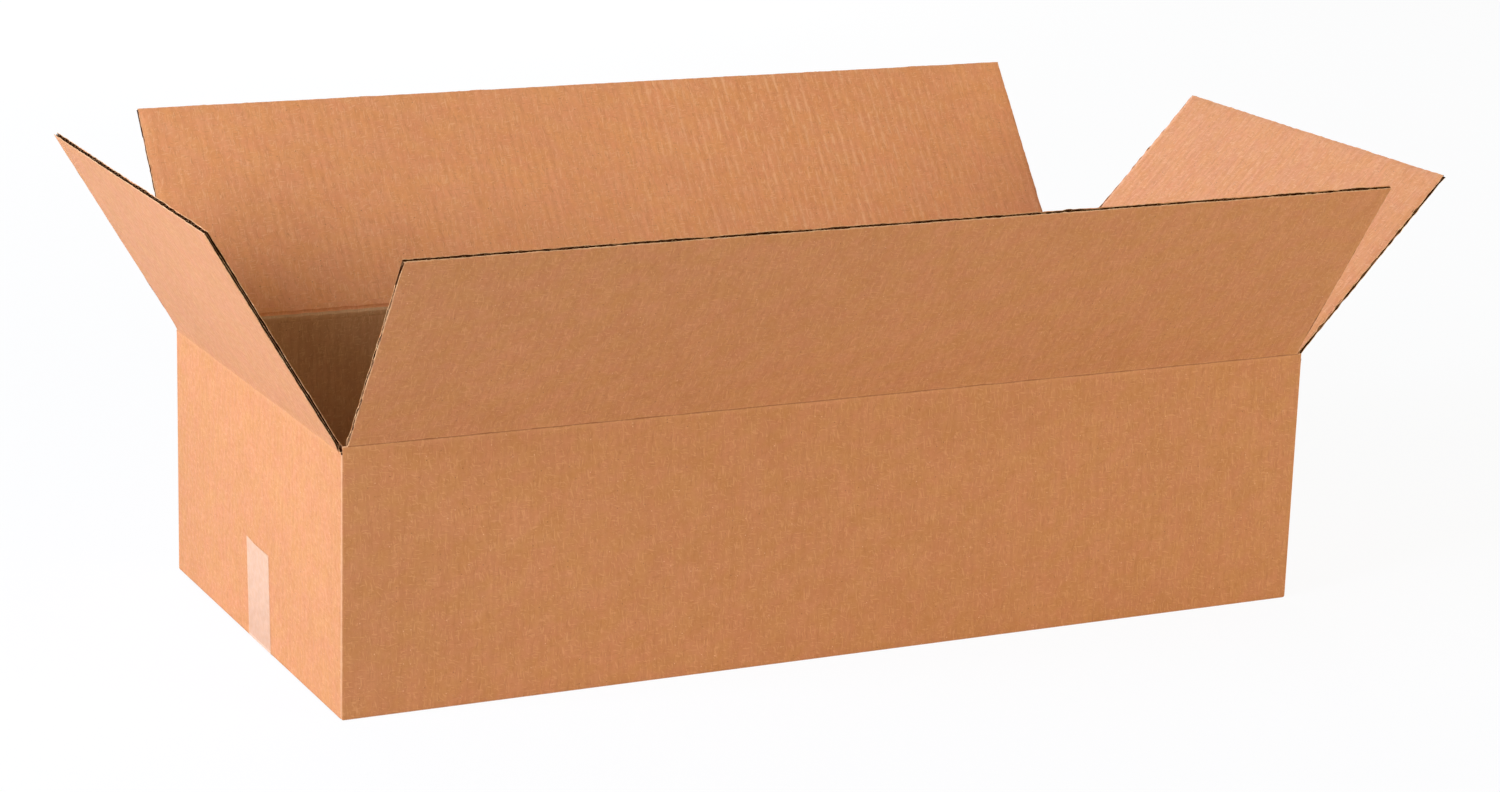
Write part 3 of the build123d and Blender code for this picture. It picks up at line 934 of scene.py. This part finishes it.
def makeKraft(name, look):
    material, tree, shader = startMaterial(name)
    sheet = put(tree, "UVMap", uv_map="sheet").outputs[0]
    onSheet = {"Sheet": sheet, "Shift": look["shift"]}
    tone = useGroup(tree, mottle, onSheet)
    other = useGroup(tree, mottle, {"Sheet": sheet, "Shift": look["shift"] + 5.0})
    fibre = useGroup(tree, fibres, onSheet)
    lines = useGroup(tree, flutes, {**onSheet, "Pressed": readMark(tree, "pressed")})
    layers = [
        (other["Blotch"], look["tintShare"], look["tint"]),
        (tone["Cloud"], look["cloud"], look["dark"]),
        (tone["Blotch"], look["blotch"], look["pale"]),
        (tone["Mottle"], look["mottle"], look["dark"]),
        # pale lines over the flutes: painted light of the washboard relief
        (lines["Line"], look["line"], look["pale"]),
        (lines["Streak"], look["streak"], look["dark"]),
        (fibre["Pale"], look["paleFibres"], look["pale"]),
        (fibre["Dark"], look["darkFibres"], look["dark"]),
        (other["Specks"], look["paleSpecks"], paperMarks["paleSpeck"]),
        (tone["Specks"], paperMarks["darkSpecks"], paperMarks["darkSpeck"]),
    ]
    # marks along creases, cut edges and folds: wear, a painted shade line in the crease and a painted
    # highlight on the folds
    for mark, width, rough, share, towards in paperMarks["wearAndPaintedLight"] if look["edgeMarkShare"] else []:
        mask = markMask(tree, sheet, mark, width, rough)
        layers.append((mask, share or look["edgeMarkShare"], towards or look["pale"]))
    colour = look["colour"]
    for mask, share, towards in layers:
        if share:
            colour = mixColour(tree, times(tree, mask, share), colour, towards)
    height = calc(tree, "ADD", fibre["Height"], times(tree, tone["Mottle"], 0.6))
    fill(tree, shader, {
        "Base Color": colour,
        "Roughness": ramp(tree, tone["Mottle"], 0.0, 1.0, look["roughness"] - 0.06, look["roughness"] + 0.08),
        "Specular IOR Level": look["shine"],
        "Sheen Weight": look["sheen"],
        "Sheen Roughness": 0.4,
        "Normal": bumped(tree, height, look["grain"], paperMarks["grainDepth"]),
    })
    return material


# the film over the end walls, a little yellower at its rim and showing less towards the foot, a painted sheen
# that fades downwards, and stuck flat under the bottom, where it is opaque and browner: painted shade in
# place of the shaded floor seen through it
tapeLook = {
    "colour": (0.69, 0.395, 0.225),
    "deep": (0.62, 0.36, 0.21), "deepShare": 0.10,
    "yellow": (0.70, 0.40, 0.20), "yellowShare": 0.45, "yellowWidth": 5.0 * mm,
    "below": (0.60, 0.36, 0.22), "belowFrom": 1.0 * mm, "belowTo": 4.0 * mm,
    "alpha": 0.84, "footShare": 0.85, "footReach": 62 * mm,
    "rimShare": 0.08, "rimWidth": 0.9 * mm,
    "roughness": 0.34, "grain": 0.2, "grainDepth": 0.08 * mm,
}


def makeTapeFilm(look):
    material, tree, shader = startMaterial("tapeFilm")
    sheet = put(tree, "UVMap", uv_map="sheet").outputs[0]
    tone = useGroup(tree, mottle, {"Sheet": sheet, "Shift": 1.7})
    bubbles = sheetNoise(tree, sheet, 110, 70, 0.3, 1, 3.3)
    pulled = sheetNoise(tree, sheet, 14, 420, 0.02, 2, 5.5)
    above = readMark(tree, "fromFold")
    rim = markMask(tree, sheet, "fromCut", look["rimWidth"], 0.6)
    edge = markMask(tree, sheet, "fromCut", look["yellowWidth"], 0.3)
    # opaque and browner under the bottom: painted shade in place of the shaded floor seen through the film
    under = ramp(tree, above, look["belowFrom"], look["belowTo"], 1.0, 0.0)
    colour = mixColour(tree, times(tree, tone["Cloud"], look["deepShare"]), look["colour"], look["deep"])
    colour = mixColour(tree, times(tree, edge, look["yellowShare"]), colour, look["yellow"])
    stuckAndSheen = ramp(tree, bubbles, 0.35, 0.7, look["alpha"] - 0.02, look["alpha"] + 0.03)
    # the film shows less towards the foot: a painted sheen that fades downwards
    stuckAndSheen = times(tree, stuckAndSheen, ramp(tree, above, 0.0, look["footReach"], look["footShare"], 1.0))
    stuckAndSheen = calc(tree, "ADD", stuckAndSheen, times(tree, rim, look["rimShare"]))
    height = calc(tree, "ADD", times(tree, bubbles, 0.7), pulled)
    fill(tree, shader, {
        "Base Color": mixColour(tree, under, colour, look["below"]),
        "Alpha": calc(tree, "ADD", stuckAndSheen, under, clamp=True),
        "Roughness": ramp(tree, tone["Mottle"], 0, 1, look["roughness"] - 0.06, look["roughness"] + 0.1),
        "Normal": bumped(tree, height, look["grain"], look["grainDepth"]),
    })
    return material


paperMaterials = [makeKraft(name, kraft[name]) for name in papers]
tapeFilm = makeTapeFilm(tapeLook)
print("materials made")

# walls
stack = newStack()
wallStrip(stack)
cartonWalls = makePiece("cartonWalls", stack, paperMaterials)
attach(cartonWalls, "root")
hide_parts("carton_body")
print("walls", len(cartonWalls.data.polygons))

# the raw end of the back wall and the glued tab behind it
stack = newStack()
back = walls["back"]
# the raw end, the tab and the bottom flaps have the inner paper's painted-shade copy on their inner face
flatPanel = {"bow": 0.0, "inner": insidePaintedShadePaper}


def cornerPlace(depth, middle):
    origin = -back["inward"] * (halfY - depth) + back["along"] * middle
    return panelPlace(back["along"], back["inward"], up, origin)


rawWidth = slotInset - 0.3 * mm
rawCentre = -(back["half"] - slotInset + rawWidth / 2)
boardPanel(stack, {
    **flatPanel, "width": rawWidth, "reach": longCrease, "phase": back["phase"] - rawCentre, "seed": 91,
    "squeeze": 0.4 * mm, "root": "cut", "cutSides": [-1], "shift": (0.003, 0.0)}, cornerPlace(0, rawCentre))
slope = math.tan(math.radians(ring["tabTaper"]))
tabHalf = ring["tabWidth"] / 2
tabCentre = -(back["half"] - board["thick"] - tabHalf)
tabTop = endCrease - ring["tabTop"]
boardPanel(stack, {
    **flatPanel, "width": ring["tabWidth"] + 3 * mm, "reach": tabTop - ring["tabFoot"], "phase": 0.0,
    "seed": 95, "squeeze": 0.6 * mm, "root": "cut", "cutSides": [1], "shift": (2.4, 0.0),
    "low": lambda x: ring["tabFoot"] + np.maximum(x + tabHalf, 0) * slope,
    "high": lambda x: tabTop - np.maximum(x + tabHalf, 0) * slope,
}, cornerPlace(board["thick"] + 0.05 * mm, tabCentre - 1.5 * mm))
gluedCorner = makePiece("gluedCorner", stack, paperMaterials)
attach(gluedCorner, "root")

# bottom flaps: the long ones lie below and meet at the tape, the end ones lie on them
for name, wall in walls.items():
    level = board["thick"] + layerGap + 0.02 * mm if wall["end"] else 0.14 * mm
    stack = newStack()
    origin = -wall["inward"] * (wall["far"] - board["thick"] + layerGap) + up * level
    number = ord(name[0])
    boardPanel(stack, {
        **flatPanel, "width": 2 * (wall["half"] - slotInset), "reach": flapReach - board["thick"] + layerGap,
        "phase": wall["phase"], "seed": 100 + number, "squeeze": 0.5 * mm, "root": "joined",
        "cutSides": [-1, 1], "shift": (3.0 + number * 0.1, 0.7),
    }, panelPlace(np.cross(up, wall["inward"]), up, wall["inward"], origin))
    bottomFlap = makePiece("bottomFlap" + name.capitalize(), stack, paperMaterials)
    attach(bottomFlap, "root")
print("bottom flaps and glued corner made")

# top flaps and their creases
for name, flap in topFlaps.items():
    wall = walls[name]
    lean = leanOf[name]
    width = 2 * (wall["half"] - slotInset)
    stack = newStack()
    boardPanel(stack, {
        **flap, "width": width, "reach": flapReach, "phase": wall["phase"], "root": "crease",
        "cutSides": [-1, 1], "shift": (wall["half"] + 4.0 + flap["seed"] * 0.1, wall["crease"]),
    }, leaningPlace(wall, lean))
    piece = makePiece(name + "Flap", stack, paperMaterials)
    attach(piece, name + "_flap")
    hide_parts("flap_" + name)
    print(name, "flap", len(piece.data.polygons))

    stack = newStack()
    creaseStrip(stack, wall, lean, width, flap["seed"] + 70)
    bead = makePiece(name + "Crease", stack, paperMaterials)
    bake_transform(bead)

    stack = newStack()
    skinStrip(stack, wall, flap, lean, width)
    skin = makePiece(name + "CreaseInside", stack, paperMaterials)
    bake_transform(skin)
print("top flaps made")

# tape
stack = newStack()
tapeStrip(stack)
sealingTape = makePiece("sealingTape", stack, [tapeFilm])
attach(sealingTape, "root")
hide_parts("bottom_tape")
print("tape made")

# floor, world, lights and camera, in metres, watts, degrees and millimetres of lens
studio = {
    "floor": (0.93, 0.93, 0.93),
    "floorHalf": 14,
    "floorWhite": 0.93,        # share of plain white that the camera sees on the floor
    "ambient": 0.13,           # light of the white room on the object
    "lamps": {
        "keyLeft": {"at": (-3.5, -0.6, 2.0), "size": (2.0, 1.4), "power": 138, "colour": (0.92, 1.06, 1.43)},
        "lowLeft": {"at": (-3.5, -0.6, 0.7), "size": (2.5, 1.3), "power": 47, "colour": (1.0, 1.12, 1.42)},
        "fillFront": {"at": (2.8, -3.4, 1.55), "size": (2.5, 1.6), "power": 69, "colour": (1.0, 0.95, 0.75)},
        "nearRight": {"at": (1.5, -1.5, 0.3), "size": (0.9, 0.5), "power": 8, "colour": (1.0, 0.97, 0.85)},
        "fillBack": {"at": (0.5, 3.6, 1.2), "size": (2.5, 2.0), "power": 60, "colour": (1.0, 1.0, 1.0)},
        "fillRight": {"at": (3.6, 0.5, 1.0), "size": (2.5, 2.0), "power": 12, "colour": (1.0, 1.0, 1.0)},
    },
    "aim": (0.0, 0.0, 0.15),
    "camera": {"at": (-1.1990, -2.4295, 0.8690), "yaw": 26.44, "pitch": 14.87, "roll": 1.79, "lens": 88.68},
}


# 1 for rays that see a surface, also in a reflection or through film, and 0 for light on its way
def seenBy(tree):
    path = put(tree, "LightPath").outputs
    seen = calc(tree, "MAXIMUM", path["Is Camera Ray"], path["Is Glossy Ray"])
    return calc(tree, "MAXIMUM", seen, path["Is Transmission Ray"])


floorMesh = bpy.data.meshes.new("floor")
half = studio["floorHalf"]
corners = [(half * x, half * y, 0) for x, y in ((-1, -1), (1, -1), (1, 1), (-1, 1))]
floorMesh.from_pydata(corners, [], [(0, 1, 2, 3)])
floor = newObject("floor", floorMesh)
floor.location.z = -0.05 * mm
floorMaterial, tree, shader = startMaterial("floorPaper")
fill(tree, shader, {"Base Color": studio["floor"], "Roughness": 0.9, "Specular IOR Level": 0.1})
white = put(tree, "Emission", {"Color": (1, 1, 1), "Strength": 1.0})
share = times(tree, seenBy(tree), studio["floorWhite"])
surface = put(tree, "MixShader", {0: share, 1: shader.outputs[0], 2: white.outputs[0]})
fill(tree, tree.nodes["Material Output"], {"Surface": surface.outputs[0]})
floorMesh.materials.append(floorMaterial)

world = bpy.data.worlds.new("studio")
bpy.context.scene.world = world
world.use_nodes = True
tree = world.node_tree
strength = put(tree, "MapRange", {"Value": seenBy(tree), "To Min": studio["ambient"], "To Max": 1.0})
fill(tree, tree.nodes["Background"], {"Color": (1, 1, 1), "Strength": strength.outputs[0]})

for name, lamp in studio["lamps"].items():
    light = bpy.data.lights.new(name, "AREA")
    light.shape = "RECTANGLE"
    light.size, light.size_y = lamp["size"]
    light.energy = lamp["power"]
    light.color = lamp["colour"]
    lampObject = newObject(name, light)
    lampObject.location = lamp["at"]
    aim = Vector(studio["aim"]) - Vector(lamp["at"])
    lampObject.rotation_euler = aim.to_track_quat("-Z", "Y").to_euler()
    lampObject.visible_camera = False

view = studio["camera"]
yaw, pitch, roll = (math.radians(view[key]) for key in ("yaw", "pitch", "roll"))
forward = Vector((math.sin(yaw) * math.cos(pitch), math.cos(yaw) * math.cos(pitch), -math.sin(pitch)))
sideways = Vector((math.cos(yaw), -math.sin(yaw), 0))
upwards = sideways.cross(forward)
cameraX = math.cos(roll) * sideways + math.sin(roll) * upwards
cameraY = -math.sin(roll) * sideways + math.cos(roll) * upwards
cameraData = bpy.data.cameras.new("camera")
cameraData.lens = view["lens"]
cameraData.sensor_width = 36.0
cameraData.sensor_fit = "HORIZONTAL"
camera = newObject("camera", cameraData)
turned = Matrix((cameraX, cameraY, -forward)).transposed().to_4x4()
camera.matrix_world = Matrix.Translation(view["at"]) @ turned
bpy.context.scene.camera = camera
bpy.context.scene.view_settings.view_transform = "Standard"
print("studio made")
